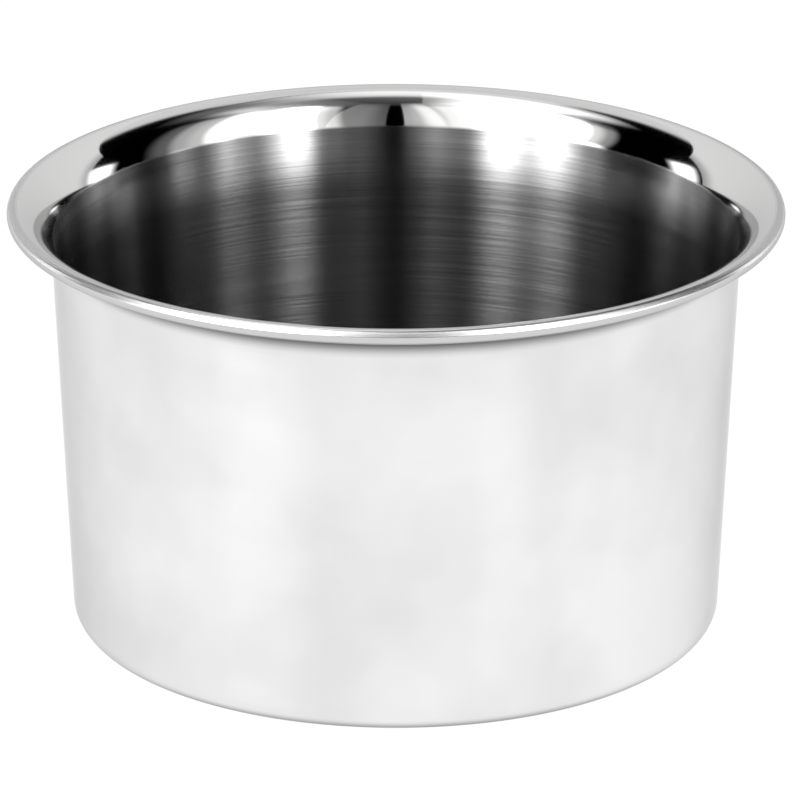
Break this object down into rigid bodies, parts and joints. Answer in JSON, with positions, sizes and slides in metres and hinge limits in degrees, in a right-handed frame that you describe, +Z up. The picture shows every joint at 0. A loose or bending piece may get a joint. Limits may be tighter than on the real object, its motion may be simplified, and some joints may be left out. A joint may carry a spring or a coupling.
{
  "type": "shaving bowl",
  "caption": "Round stainless steel shaving bowl with a nearly straight brushed wall, a flat base and a flared polished lip rolled around a wire.",
  "frame": {"origin": "middle of the base, on the plane the bowl stands on", "axes": "+Z up along the bowl's axis, out of the mouth; X and Y are interchangeable because the bowl is round"},
  "size_m": [0.1, 0.1, 0.0567],
  "materials": {
    "bowl_steel": "wall and base brushed round the bowl, flare and lip polished to a mirror, rolled edge finely brushed",
    "wire_steel": "plain drawn wire, hidden inside the rolled edge"
  },
  "bodies": {
    "root": {"bowl_shell": "bowl_steel", "rim_wire": "wire_steel"}
  },
  "joints": []
}
